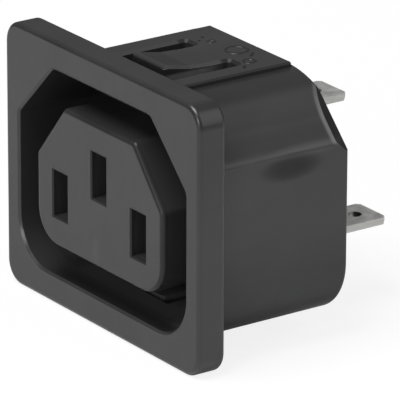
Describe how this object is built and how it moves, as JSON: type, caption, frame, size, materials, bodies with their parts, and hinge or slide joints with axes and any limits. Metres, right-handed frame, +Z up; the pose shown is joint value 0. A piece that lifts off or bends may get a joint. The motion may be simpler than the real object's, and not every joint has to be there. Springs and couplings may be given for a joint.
{
  "type": "snap-in panel power socket",
  "caption": "Panel-mounted appliance power outlet with a square flange, a moat around a slotted island, moulded snap tongues and flat push-on tabs at the rear.",
  "frame": {"origin": "middle of the flange's rear face, which seats on the panel", "axes": "+X right as seen from the front, +Y through the panel towards the tabs, +Z up, towards the earth slot"},
  "size_m": [0.0346, 0.0293, 0.0286],
  "materials": {
    "housing_plastic": "black moulding, fine spark texture, slightly glossy on the edges",
    "cover_plastic": "black moulding, plain",
    "contact_metal": "tin plated, dull"
  },
  "bodies": {
    "root": {"housing": "housing_plastic", "rear_cover": "cover_plastic", "line_contact": "contact_metal", "neutral_contact": "contact_metal", "earth_contact": "contact_metal"}
  },
  "joints": []
}
